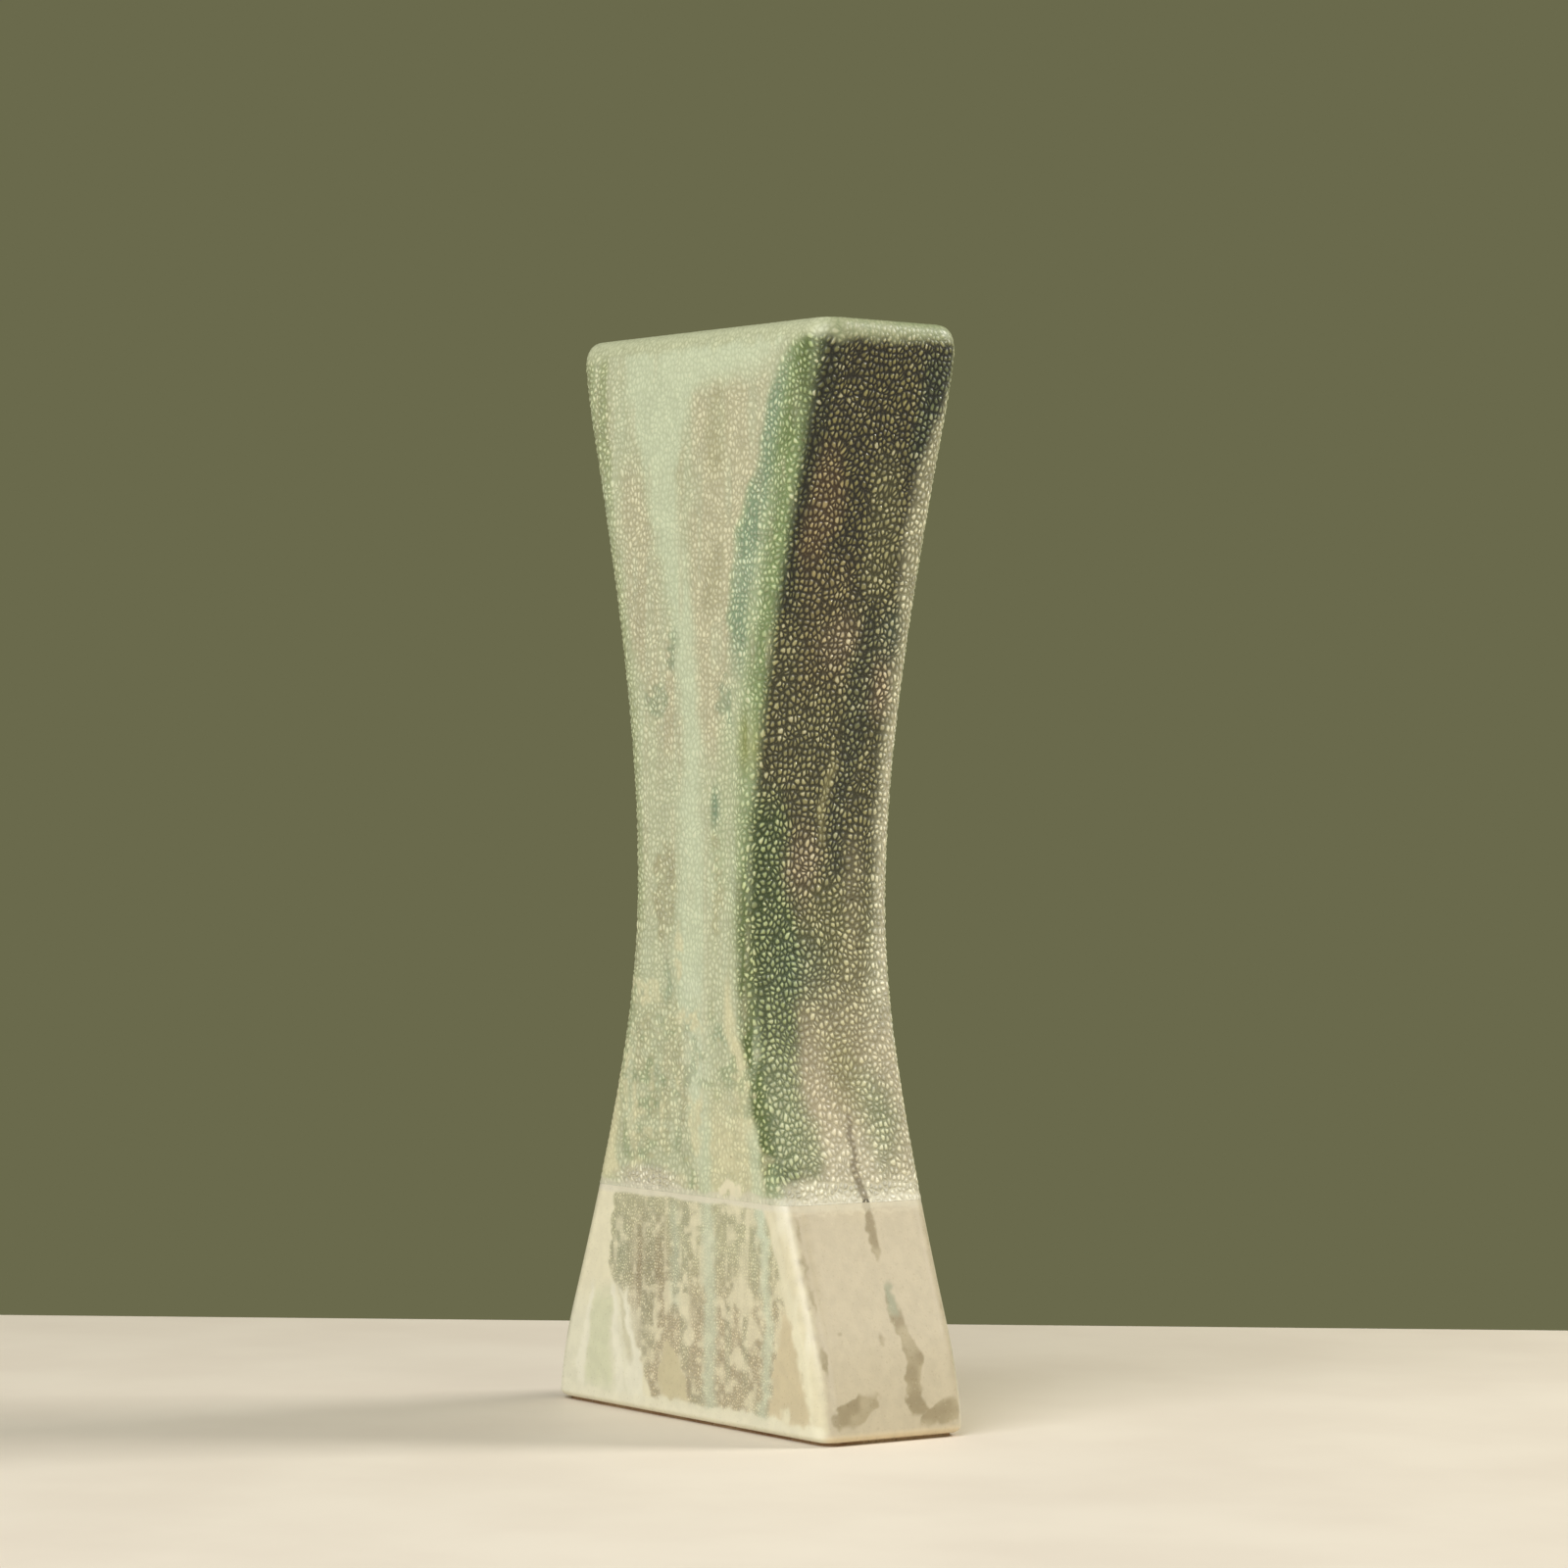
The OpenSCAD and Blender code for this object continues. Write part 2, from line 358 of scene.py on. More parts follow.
# The low, fine beads of the base glaze, and the mint runs over them.
MINT_RUN = (214, 221, 194), (203, 212, 183)
GREEN_SPECKLE = (216, 213, 177), (189, 186, 149)
BROWN_SPECKLE = (220, 209, 176), (190, 177, 143)
DARK_SPECKLE = (213, 202, 169), (166, 152, 118)
SAGE_SPECKLE = (214, 213, 180), (180, 181, 147)

# Smooth glazes.
LINER_PALE = (214, 210, 178)
LINER_SAGE = (200, 200, 166)
LINER_POOL = (150, 166, 128)
CREAM = (233, 227, 196)
# Painted highlight streaks on the cream roll.
ROLL_HIGHLIGHT = (232, 228, 204)
# Duller cream streaks at the roll's arris edge, partly painted shade.
DULL_CREAM_AND_SHADE = (208, 198, 164)
FOOT_CREAM = (234, 230, 204)
ARRIS_CREAM = (220, 212, 180)
CREAM_PATCH = (229, 222, 190)
MINT_FOOT = (228, 225, 199)
MINT_STREAK = (236, 233, 210)
MINT_POOL = (208, 211, 175)
SAND = (206, 196, 159)
WARM_SAND = (209, 196, 161)
SAND_STREAK = (200, 195, 163)
GREIGE = (200, 189, 163)
PALE_GREIGE = (203, 191, 161)
# Painted shade beside the near arris of a narrow face.
NEAR_ARRIS_SHADE = (188, 176, 147)
RUN_GREY = (158, 145, 116)
RUN_EDGE = (180, 168, 139)
RUN_GREEN = (166, 171, 147)
# Short dark dashes down the near and far arrises.
NEAR_DASH = (158, 145, 112)
FAR_DASH = (166, 153, 120)
FOOT_TAN = (220, 203, 167)
DIP_LIP = (224, 219, 196)
# A thin painted sheen just under the dip line.
DIP_SHEEN = (222, 213, 187)

# Everything that isn't glaze.
CLAY = (186, 160, 124)
TOASTED_CLAY = (150, 112, 78)
DARK_GRIT = (98, 74, 54)
PALE_GRIT = (214, 198, 168)
FLOOR_DULL = (234, 223, 206)
FLOOR_PALE = (240, 230, 213)
BACKDROP = (106, 106, 76)


def wander(points, seed, amount):
    """Sideways and upward shifts that make the edges of painted patches uneven."""
    aside = amount * (1.6 * mottle(points, 14, seed) + 1.2 * mottle(points, 4, seed + 1))
    up = amount * (3.0 * mottle(points, 18, seed + 2) + 1.5 * mottle(points, 5, seed + 3))
    return aside, up


def streaks(points, size, seed):
    """Random values from -1 to 1 that are drawn out down the walls, as runs are."""
    return mottle(points * np.array([1, 1, 0.16]), size, seed)


def ragged(points, middle, seed):
    """Turns soft patches, 1 in the middle and 0 outside, into ragged ones with flecks about."""
    rough = 0.8 * mottle(points, 4, seed) + 0.9 * mottle(points, 1.8, seed + 1)
    return fade(0.2, 0.95, middle * (1 + rough))


def patches(across, z, places, softness):
    """Patches, each given by its middle across and up and its half sizes."""
    return np.maximum.reduce([spot(across, z, *place, softness) for place in places])


def paint_wide_beads(points, facing, seed, amount):
    """The beaded glaze on a wide face. facing is -1 for the front and 1 for the back."""
    aside, up = wander(points, seed, amount)
    x = -facing * points[:, 0] + aside
    z = points[:, 2] + up
    right_in = half_width(points[:, 2]) + facing * points[:, 0] + 0.6 * aside
    left_in = half_width(points[:, 2]) - facing * points[:, 0] + 0.6 * aside
    look = Look(x, z, MINT, 0.12, 0.18)

    # Broad fields, from the top down.
    look.run(1, [(286, 18, 18), (262, 17, 15), (240, 11, 13), (210, 9, 9), (184, 7, 6)], 3.5,
             ROSE_BEIGE, 0.14, 0.2)
    look.run(1, [(262, -30, 4), (240, -26, 8), (215, -21, 9), (196, -10, 8), (182, -8, 6)], 3.5,
             ROSE_BEIGE, 0.16, 0.22)
    look.run(1, [(284, 12, 3), (272, 11, 5), (258, 11, 3)], 2.5, TAN)
    look.run(0.7, [(282, -5, 2), (255, -6, 2), (232, -6, 1)], 2, TAN)
    look.run(0.5, [(290, -25, 1), (270, -25, 2), (262, -25, 1)], 1.5, TAN)
    look.run(0.6, [(240, 10, 4), (222, 9, 4)], 2.5, TAN, 0.2)
    look.run(1, [(300, -14, 21), (282, -17, 16), (262, -15, 8), (235, -9, 5), (215, -3, 5),
                 (190, 0, 4), (165, 1, 5), (120, 2, 7), (90, 5, 4), (66, 9, 3)], 3, PALE_MINT, 0.08, 0.12)
    look.run(1, [(300, 12, 30), (287, 12, 26)], 2.5, PALE_MINT, 0.06, 0.1)

    # The green band beside the right arris: teal on its left, olive on its right.
    look.run(1, [(296, 64, 16), (284, 58, 19), (276, 55, 20), (264, 51, 20), (250, 45, 21),
                 (240, 41, 22), (222, 38, 21), (212, 36, 17)], 1.8, PALE_GREEN, 0.2, 0.28)
    look.run(0.8, [(226, 38, 14), (204, 33, 11), (176, 31, 9), (140, 30, 7)], 4.5, PALE_GREEN, 0.16, 0.24)
    look.run(0.8, [(284, 42, 3), (276, 38, 4), (262, 34, 4), (250, 29, 4), (240, 25, 4),
                   (222, 22, 4), (206, 21, 3)], 2.5, TEAL, 0.24, 0.3)
    look.run(0.8, [(268, 45, 4), (250, 38, 4), (222, 34, 3)], 2, SAGE, 0.22)
    look.lay(fade(252, 268, z) * fade(17, 8, right_in), OLIVE, 0.26)
    look.lay((0.6 + 0.4 * fade(185, 200, z)) * fade(12, 3, right_in) * fade(116, 136, z), OLIVE, 0.24)
    look.run(0.7, [(246, 29, 3), (226, 25, 3)], 3, TEAL)
    look.run(0.5, [(192, 17, 4), (145, 14, 4)], 3, PALE_GREEN)
    look.lay(fade(264, 280, z) * fade(12, 5, right_in), DARK_OLIVE, 0.3)
    look.spot(0.8, (27, 186, 4, 7, 0.9), YELLOW_GREEN, 0.12)
    look.spot(1, (12.5, 169, 2, 5, 0.8), TEAL, 0.24)

    # Dark beads down the right arris below the waist, with a ridge of butter beside them.
    look.lay(run(right_in, z, [(172, 0, 2), (140, 0, 5), (115, 0, 8), (90, 0, 9), (66, 0, 9)], 2.5),
             FOREST, 0.33, 0.34)
    look.run(1, [(124, 18, 1), (116, 19, 2), (106, 21, 2.5), (97, 25, 3), (88, 27, 3), (78, 30, 3),
                 (66, 34, 3)], 2, BUTTER, 0.06, 0.12)

    # The left edge and the top left corner.
    look.lay(fade(10, 3, left_in), LEFT_OLIVE, 0.18, 0.26)
    look.run(1, [(296, -56, 13), (280, -54, 12), (268, -50, 10), (250, -45, 6)], 1.6, LEFT_OLIVE, 0.2, 0.26)

    # Small blotches.
    teal = ((-10, 212, 4, 5), (-17, 199, 5, 4), (16, 197, 5, 6), (14, 107, 3, 3), (-9, 120, 2, 6),
            (-14, 92, 3, 6))
    stone = ((-12, 146, 5, 12), (-12, 104, 13, 11), (-9, 86, 9, 12), (-24, 76, 7, 8), (13, 148, 3, 14))
    butter = ((-20, 117, 8, 4), (-27, 88, 3, 12), (-5, 66, 5, 3), (2, 110, 6, 4), (-4, 128, 2, 8),
              (-20, 158, 2, 2), (4, 84, 3, 8), (20, 77, 4, 5))
    look.lay(0.5 * ragged(points, patches(x, z, teal, 1), seed + 21), TEAL, 0.24, 0.28)
    look.lay(0.7 * ragged(points, patches(x, z, stone, 0.8), seed + 23), STONE, 0.22, 0.24)
    look.lay(0.8 * ragged(points, spot(x, z, -12, 145, 4, 11, 0.9), seed + 31), TAN, 0.24)
    low = fade(126, 100, z)
    look.lay(0.6 * low * fade(0, 0.6, mottle(points, 3.6, seed + 33)), SAGE, 0.24)
    look.lay(0.6 * low * fade(0.1, 0.7, mottle(points, 2.4, seed + 35)), BUTTER, 0.12)
    look.lay(0.8 * fade(100, 80, z) * fade(0, 14, x) * fade(9, 13, right_in), BUTTER, 0.12, 0.16)
    look.run(0.4, [(124, 2, 6), (90, 5, 4), (66, 9, 3)], 3, MINT_RUN)
    look.lay(run(left_in, z, [(108, 0, 1), (86, 0, 6), (66, 0, 9)], 2.5), BUTTER, 0.1, 0.14)
    butter = ragged(points, patches(x, z, butter, 0.8), seed + 25)
    look.lay(0.8 * butter * fade(160, 125, z), BUTTER, 0.08, 0.14)
    look.lay(ragged(points, spot(x, z, 21, 66.5, 5, 3), seed + 27), CREAM_PATCH)
    look.run(1, [(74, -50, 14), (64, -50, 19)], 1.5, BUTTER, 0.04, 0.1)
    for upper, lower in ((9, 10), (31, 34)):
        look.run(0.8, [(84, upper, 2), (62, lower, 2.5)], 1.8, PALE_MINT, 0.08, 0.1)

    # Streaks of the two main glazes through each other.
    look.lay(0.4 * fade(0.1, 0.8, streaks(points, 2.6, seed + 11)), ROSE_BEIGE)
    look.lay(0.4 * fade(0.1, 0.8, streaks(points, 3.4, seed + 12)), PALE_MINT)
    look.lay(spot(x, points[:, 2], -18, 65.5, 14, 3.5, 0.5), FROSTED, 0.3, 0.3)
    finish_bead_edges(look, points, RIM_EDGE)
    return look


def paint_narrow_beads(points, facing, seed, amount):
    """The beaded glaze on a narrow face. facing is 1 for the right side and -1 for the left."""
    aside, up = wander(points, seed, amount)
    y = facing * points[:, 1] + aside
    z = points[:, 2] + up
    look = Look(y, z, BRONZE, 0.34, 0.36)

    # The glaze gets paler towards the foot.
    look.lay(0.3 * fade(240, 205, z), SHALE)
    look.lay(fade(166, 128, z), SHALE, 0.32)
    look.lay(fade(136, 86, z - 0.1 * y), OAT, 0.18, 0.3)

    # Upper half.
    look.run(0.9, [(292, 17, 7), (275, 17, 5), (262, 15, 3)], 2.5, NIGHT_TEAL, 0.36)
    look.run(0.8, [(296, -23, 7), (262, -23, 6), (240, -23, 4), (222, -22, 3)], 2.5, MOSS)
    look.run(0.9, [(264, -14, 4), (250, -13, 6), (232, -15, 4)], 3, AMBER)
    look.run(0.7, [(236, -8, 8), (200, -6, 8)], 3, UMBER)
    look.spot(0.8, (-1, 213, 6, 6, 0.8), PINK_BEIGE)
    look.spot(1, (17, 203, 6, 7, 0.8), PINK_BEIGE)
    look.spot(0.8, (18, 216, 6, 7, 0.8), SLATE)
    look.run(0.5, [(264, 5, 4), (244, 8, 6), (226, 9, 5)], 3, SHALE)
    look.run(0.5, [(222, 7, 2), (205, 8, 4), (188, 8, 4), (172, 5, 2), (150, 3, 2)], 2, NIGHT_TEAL, 0.4)
    look.run(0.8, [(182, 1, 1.2), (160, -1, 1.2)], 1.2, WHEAT, 0.15)

    # Green about the waist and down the near arris.
    look.run(0.85, [(172, -20, 5), (150, -17, 8), (128, -16, 8), (106, -18, 7), (66, -22, 5)], 3, FIR)
    look.lay(fade(106, 88, z) * fade(68, 80, z) * fade(-8, -20, y), SAGE_STONE)
    look.spot(0.5, (-8, 125, 8, 8, 0.8), PINE_BLUE)
    look.spot(0.8, (-7, 153, 5, 11, 0.8), PINK_BEIGE)
    look.spot(0.8, (3, 97, 6, 11, 0.8), WHEAT)
    look.spot(0.8, (-12, 75, 4, 7, 0.8), SAGE_STONE)

    # Pale beads along the far arris, wider about the waist: pale glaze, made paler still as a painted
    # highlight where the key light grazes that arris.
    look.run(0.9, [(286, 27, 5), (262, 26, 10), (238, 26, 11), (215, 26, 8), (160, 26, 8), (110, 24, 11),
                   (66, 22, 12)], 3, EDGE_OAT_AND_HIGHLIGHT, 0.3)
    look.run(0.65, [(190, 24, 3), (140, 24, 5), (72, 22, 6)], 3, FROSTED)
    look.run(0.25, [(160, 10, 3), (126, 10, 3)], 3, OAT)
    look.lay(0.4 * fade(86, 72, z) * fade(-12, -4, y), FROSTED)
    look.lay(0.7 * fade(122, 104, z) * fade(10, 15, y), OAT, 0.2)
    look.spot(0.7, (12, 86, 6, 11, 0.8), SAGE_STONE)
    frost = fade(FULL_COAT_Z + 3, FULL_COAT_Z, points[:, 2] + 1.5 * mottle(points, 7, seed + 7))
    look.lay(0.85 * frost, FROSTED, 0.26, 0.3)
    # A thin painted highlight line down the far arris.
    look.run(1, [(284, 25, 2), (262, 24.5, 2.5), (66, 24, 3)], 1.5, ARRIS_HIGHLIGHT, 0.26)
    finish_bead_edges(look, points, NARROW_RIM)
    look.run(0.8, [(84, 1.8, 0.5), (74, 2.3, 0.9), (60, 2.8, 1.2)], 0.6, DRIP, 0.2, 0.2)
    look.lay(0.8 * fade(294, 298, z) * fade(-6, 10, y), NARROW_RIM_GREEN)
    look.lay(0.5 * fade(292, 296, z) * fade(0, 0.6, streaks(points, 1.4, seed + 8)), NARROW_RIM_GREEN)
    return look


def finish_bead_edges(look, points, rim):
    """The paler, smoother glaze along the rim and the thin coat along the dip line."""
    z = points[:, 2] + 0.8 * mottle(points, 16, 71) + 1.2 * mottle(points, 3, 72)
    look.lay(fade(292.5, 296.5, z), rim, 0.1, 0.12)
    look.lay(fade(295.5, 298.5, z), rim, 0.03, 0.05)
    look.lay(0.6 * fade(DIP_Z + 2.4, DIP_Z + 1.2, z), (DIP_LIP, DIP_LIP), 0.1)
    thin = (points[:, 2] - DIP_Z) / FEATHER_H
    look.values[RELIEF] = np.minimum(look.values[RELIEF], 0.06 + 0.3 * np.clip(thin, 0, None))


def paint_wide_gloss(points, facing, seed, amount):
    """The base glaze below the dip line on a wide face."""
    aside, up = wander(points, seed, 0.7 * amount)
    x = -facing * points[:, 0] + aside + 1.1 * mottle(points, 1.7, seed + 14)
    z = points[:, 2] + 0.6 * up + 1.1 * mottle(points, 2.1, seed + 15)
    right_in = half_width(points[:, 2]) + facing * points[:, 0] + 0.5 * aside
    look = Look(x, z, CREAM)

    # The wide field of low beads, greener above and browner below.
    field = run(x, z, [(63, 2, 37), (40, 4, 41), (34, 6, 40), (20, 10, 34), (10, 12, 32), (4, 12, 27)], 1.2)
    look.lay(field, GREEN_SPECKLE, 0.2, 0.1)
    look.lay(field * fade(52, 26, z), BROWN_SPECKLE, 0.22, 0.12)
    look.lay(field * spot(x, z, -18, 40, 9, 13, 0.9), DARK_SPECKLE, 0.26, 0.12)
    look.lay(0.9 * field * spot(x, z, -31, 43, 5, 10, 0.9), SAGE_SPECKLE, 0.26, 0.12)
    look.lay(0.5 * field * fade(0.1, 0.7, streaks(points, 4, seed + 8)), SAGE_SPECKLE)

    # Thick cream patches where the beads have run together.
    cream = patches(x, z, ((21, 62, 6, 3), (25, 38, 7, 4), (31, 30, 4, 7), (5, 54, 3, 6), (9, 50, 3, 3),
                           (-8, 36, 2, 8), (-13, 24, 2, 8), (3, 22, 2, 4), (45, 36, 5, 7),
                           (44, 27, 4, 5), (24, 20, 3, 3), (0, 34, 3, 6), (16, 33, 3, 3)), 0.9)
    look.lay(0.65 * ragged(points, cream, seed + 21), CREAM_PATCH)
    look.lay(0.6 * field * fade(0, 0.9, mottle(points, 2.2, seed + 22)), CREAM_PATCH)
    look.lay(0.5 * field * fade(0.3, 0.8, streaks(points, 2.4, seed + 10)), CREAM_PATCH)

    # Smooth teardrops that reach up from the foot.
    look.run(1, [(21, -7, 1), (14, -6, 5), (5, -5, 7)], 1, SAND)
    look.run(1, [(34, 46, 1), (20, 47, 6), (5, 49, 9)], 1.2, WARM_SAND)
    look.spot(1, (47, 7, 2, 2), CREAM)

    # Mint runs.
    look.run(0.7, [(68, 10, 2.5), (40, 11, 2.5), (25, 11.5, 2.5), (10, 12, 2.8), (3, 13, 3)], 2,
             MINT_RUN, 0.1, 0.06)
    look.run(1, [(68, 34, 2), (50, 36.5, 2)], 1.8, MINT_RUN, 0.08, 0.06)
    look.run(0.7, [(52, 36.5, 2), (30, 38, 2), (10, 37, 2), (3, 36, 3)], 1.8, MINT_RUN, 0.08, 0.06)
    look.run(0.5, [(60, -6, 2), (45, -5, 2), (30, -4, 2)], 2, MINT_RUN)

    # Smooth cream down the left edge, with mint runs over its foot.
    look.run(1, [(64, -54, 20), (37, -58, 20), (33, -55, 23), (20, -50, 26), (4, -44, 29)], 1, CREAM)
    look.lay(fade(38, 22, z) * fade(-17, -28, x), MINT_FOOT)
    look.run(0.7, [(32, -40, 5), (18, -42, 6), (6, -42, 7)], 2, MINT_POOL)
    for upper, lower in ((-31, -22), (-35, -31), (-45, -51), (-28, -26)):
        look.run(0.9, [(34, upper, 0.7), (12, lower, 2), (4, lower, 2)], 0.9, MINT_STREAK)
    look.run(0.7, [(32, -31, 0.8), (14, -26, 1.5)], 0.9, SAND_STREAK)

    # The glossy cream roll down the right arris, with painted highlight streaks on it and streaks of duller
    # cream, partly painted shade, towards the arris edge.
    roll = run(right_in, z, [(66, 0, 11), (48, 0, 9), (40, 0, 6), (22, 0, 4), (3, 0, 5)], 1.2)
    look.lay(roll, ARRIS_CREAM)
    # Painted highlight in streaks along the roll.
    look.lay(0.6 * roll * fade(0.1, 0.7, streaks(points, 2.4, seed + 17)), ROLL_HIGHLIGHT)
    look.lay(0.7 * run(right_in, z, [(60, 8, 1.5), (44, 7, 1.5), (30, 5, 1)], 1), CREAM)
    # Duller cream in streaks near the arris edge, partly painted shade.
    look.lay(0.5 * fade(9, 3, right_in) * fade(0, 0.8, streaks(points, 2, seed + 16)), DULL_CREAM_AND_SHADE)
    look.lay(0.8 * fade(6, 4.5, z), FOOT_CREAM)
    finish_gloss_edges(look, points, seed, 1.2, 0.9)
    return look


def paint_narrow_gloss(points, facing, seed, amount):
    """The base glaze below the dip line on a narrow face, with its brown runs."""
    aside, up = wander(points, seed, 0.45 * amount)
    y = facing * points[:, 1] + aside + 0.8 * mottle(points, 1.5, seed + 4)
    z = points[:, 2] + 0.3 * up + 0.8 * mottle(points, 1.5, seed + 5)
    look = Look(y, z, GREIGE)
    look.lay(0.5 * fade(0.1, 0.6, mottle(points, 22, seed + 6)), PALE_GREIGE)
    paths = (
        [(75, 2.6, 0.8), (62, 2.8, 1.1), (56, 2.8, 1.6), (51, 3, 1.5), (47, 3.2, 0.6)],
        [(41, 4.8, 0.9), (36, 4.6, 1.6), (28, 6, 2), (21, 8.6, 2.8), (17, 6.8, 2.9), (12, 6, 2.7),
         (7, 8.5, 3.3)],
        [(10, 18, 3), (7, 16, 7), (4, 13, 6)],
        [(13, -9, 3), (10, -13, 7), (7, -16, 5), (5, -17, 3)],
    )
    runs = [run(y, z, path, 0.5) for path in paths]
    specks = patches(y, z, ((-1.5, 27, 0.9, 1.4), (-7, 4.5, 0.7, 0.5), (-15, 29, 0.8, 0.8)), 0.5)
    runs = np.maximum.reduce([*runs, 0.5 * specks])
    look.lay(runs, RUN_EDGE)
    look.lay(0.9 * runs * fade(-0.5, 0.5, mottle(points, 3.5, seed + 7)), RUN_GREY)
    look.run(1, [(64, 2.8, 1), (56, 2.8, 1.3), (50, 3, 1.2)], 0.5, RUN_GREY)
    look.run(0.7, [(41, 4.8, 1.2), (33, 5, 1.4)], 0.8, RUN_GREEN)

    # Short dark dashes down both arrises, painted shade beside the near one, and the cream that comes over
    # the near one.
    for height in (56, 47, 38, 22):
        look.spot(0.8, (-21.3, height, 0.5, 3), NEAR_DASH)
    for height in (52, 33):
        look.spot(0.5, (21.6, height, 0.4, 3), FAR_DASH)
    # Painted shade down the narrow face beside the near arris.
    look.lay(0.5 * fade(-16, -20, y) * fade(28, 42, z), NEAR_ARRIS_SHADE)
    look.lay(fade(-21.5, -23.5, y), ARRIS_CREAM)
    # A thin painted sheen just under the dip line.
    look.lay(0.4 * fade(0.7, 0, np.abs(z - DIP_Z + 2.2)), DIP_SHEEN)
    finish_gloss_edges(look, points, seed, 4, 0.4)
    return look


def finish_gloss_edges(look, points, seed, tan_height, line):
    """The tan foot, and the pale line where the beaded glaze was dipped."""
    z = points[:, 2] + 0.5 * mottle(points, 9, seed + 20)
    look.lay(0.9 * fade(tan_height, 0.5 * tan_height, z), FOOT_TAN)
    look.lay(line * fade(DIP_Z - 2, DIP_Z - 1, z), DIP_LIP)


# How the four faces are painted: which way each faces, its seed and how much it wanders.
# The layouts are the same front and back, and the same right and left, turned half round.
FRONT_AND_BACK = ((-1, 11, 0.8), (1, 51, 2.4))
RIGHT_AND_LEFT = ((1, 31, 0.8), (-1, 91, 2.4))


def paint_opposite(points, across, wanted, paint, sides):
    """Paints the two faces that look opposite ways, each where across has its sign."""
    look = Look(across, points[:, 2], CREAM)
    for facing, seed, amount in sides:
        chosen = wanted & ((across > 0) == (facing > 0))
        look.values[:, chosen] = paint(points[chosen], facing, seed, amount).values
    return look.values


def paint_all_round(points, columns, paint_wide, paint_narrow):
    """The values of the four faces' looks, blended over the arrises."""
    out_x = np.tile(columns[:, 2], len(points) // len(columns))
    share = fade(0.15, 0.85, out_x**2)
    wide = paint_opposite(points, points[:, 1], share < 1, paint_wide, FRONT_AND_BACK)
    narrow = paint_opposite(points, points[:, 0], share > 0, paint_narrow, RIGHT_AND_LEFT)
    return wide + share * (narrow - wide)


# ---- Beads ----

BEAD_ACROSS = 1.6    # average distance between bead middles across a face
BEAD_UP = 1.85       # the same upwards: the beads are a little taller than wide
FINE_BEADS = 0.5     # size of the base glaze's beads against those above
FACE_SHIFT = 400.0   # sets the beads of opposite faces apart


def unroll(points, levels, columns, size):
    """Where each point lies among the beads of its wide and of its narrow face.

    Both are measured along the surface and carry on round the arrises, where one
    face's beads take over from the other's by narrow_share.
    """
    levels = np.array(levels, float)
    along = np.append(0, np.cumsum(np.hypot(*np.diff(levels, axis=0).T)))
    along = np.repeat(along, len(columns))
    corner_x, corner_y, out_x, out_y = np.tile(columns, (len(levels), 1)).T
    turn_x = np.arctan2(np.abs(out_x), np.abs(out_y)) * np.sign(out_x)
    turn_y = np.arctan2(np.abs(out_y), np.abs(out_x)) * np.sign(out_y)
    wide_across = corner_x * (half_width(points[:, 2]) - ARRIS_R) + ARRIS_R * turn_x
    narrow_across = corner_y * (HALF_DEPTH - ARRIS_R) + ARRIS_R * turn_y
    shift_across = 0.9 * mottle(points, 6, 201)
    shift_up = 0.9 * mottle(points, 6, 202)
    up = (along + shift_up) / (size * BEAD_UP)
    places = {"narrow_share": fade(0.35, 0.65, out_x**2)}
    for name, across, shifted, lift in (
        ("wide_place", wide_across, out_y > 0, 0),
        ("narrow_place", narrow_across, out_x > 0, FACE_SHIFT / 2),
    ):
        across = (across + shift_across) / (size * BEAD_ACROSS) + FACE_SHIFT * shifted
        places[name] = np.stack([across, up + lift, np.zeros(len(points))], axis=1)
    return places


def store(mesh, name, values):
    """Writes one value for each point into the mesh, for the materials and the relief."""
    kinds = {1: ("FLOAT", "value"), 3: ("FLOAT_VECTOR", "vector"), 4: ("FLOAT_COLOR", "color")}
    kind, key = kinds[1 if values.ndim == 1 else values.shape[1]]
    layer = mesh.attributes.new(name, kind, "POINT")
    layer.data.foreach_set(key, values.astype(np.float32).ravel())


